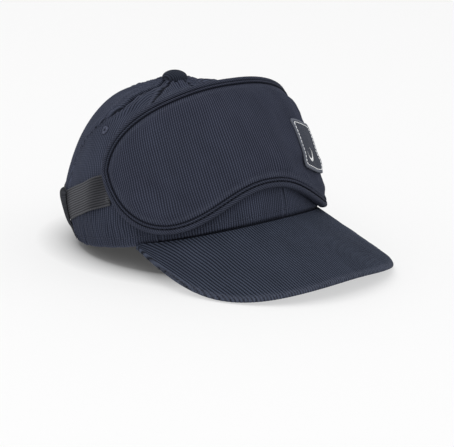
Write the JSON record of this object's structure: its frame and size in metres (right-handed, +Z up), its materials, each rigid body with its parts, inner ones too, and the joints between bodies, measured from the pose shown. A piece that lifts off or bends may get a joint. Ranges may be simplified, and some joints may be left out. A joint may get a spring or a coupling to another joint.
{
  "type": "cap with sleep eye mask",
  "caption": "Soft peaked cap with a curved brim; a padded sleep eye mask rests on its crown, held by an elastic strap that runs round the back.",
  "frame": {"origin": "centre of the head opening, on the plane that the cap rests on", "axes": "+Z up through the crown, brim towards -Y, +X to the wearer's left"},
  "size_m": [0.169, 0.2548, 0.127],
  "materials": {
    "crown_fabric": "fine ribbed cotton twill",
    "mask_fabric": "ribbed twill, padded",
    "binding": "folded edge tape",
    "lining": "soft brushed jersey",
    "foam": "open-cell foam",
    "elastic": "ribbed elastic webbing",
    "webbing": "ribbed webbing",
    "tape": "woven tape",
    "buckram": "stiffened mesh",
    "label": "satin label, blank",
    "board": "moulded sheet",
    "button_metal": "pressed steel",
    "thread": "embroidery thread",
    "hook_and_loop": "hook and loop",
    "patch": "woven patch",
    "patch_edge": "overlocked thread",
    "emblem": "satin-stitch thread"
  },
  "bodies": {
    "cap": {"front_panel_right": "crown_fabric", "front_panel_left": "crown_fabric", "side_panel_right": "crown_fabric", "side_panel_left": "crown_fabric", "back_panel_right": "crown_fabric", "back_panel_left": "crown_fabric", "front_buckram": "buckram", "seam_tapes": "tape", "sweatband": "tape", "inner_label": "label", "brim_board": "board", "brim_top_cover": "crown_fabric", "brim_under_cover": "crown_fabric", "button_cover": "crown_fabric", "button_core": "button_metal", "button_washer": "button_metal", "eyelets": "thread", "opening_binding": "crown_fabric", "size_tab": "crown_fabric", "loop_patch": "hook_and_loop", "strap_keeper_right": "webbing", "strap_keeper_left": "webbing"},
    "strap": {"elastic_strap": "elastic"},
    "mask": {"mask_face": "mask_fabric", "mask_foam": "foam", "mask_lining": "lining", "mask_binding": "binding", "mask_piping": "mask_fabric", "patch_base": "patch", "patch_edge": "patch_edge", "patch_emblem": "emblem"},
    "size_strap": {"size_strap": "crown_fabric", "hook_patch": "hook_and_loop"}
  },
  "joints": [
    {"name": "strap_swing", "type": "hinge", "parent": "cap", "child": "strap", "pos_m": [0, 0.048, 0.031], "axis": [-1, 0, 0], "range_deg": [0, 40], "deforming": ["elastic_strap"]},
    {"name": "mask_pull", "type": "slide", "parent": "strap", "child": "mask", "axis": [0, -0.9511, -0.309], "range_m": [0, 0.08], "stiffness_N_per_m": 60, "deforming": ["elastic_strap"]},
    {"name": "size_strap_peel", "type": "hinge", "parent": "cap", "child": "size_strap", "pos_m": [0.0287, 0.0781, 0.0095], "axis": [-0.1691, -0.5522, -0.8164], "range_deg": [0, 40]}
  ]
}
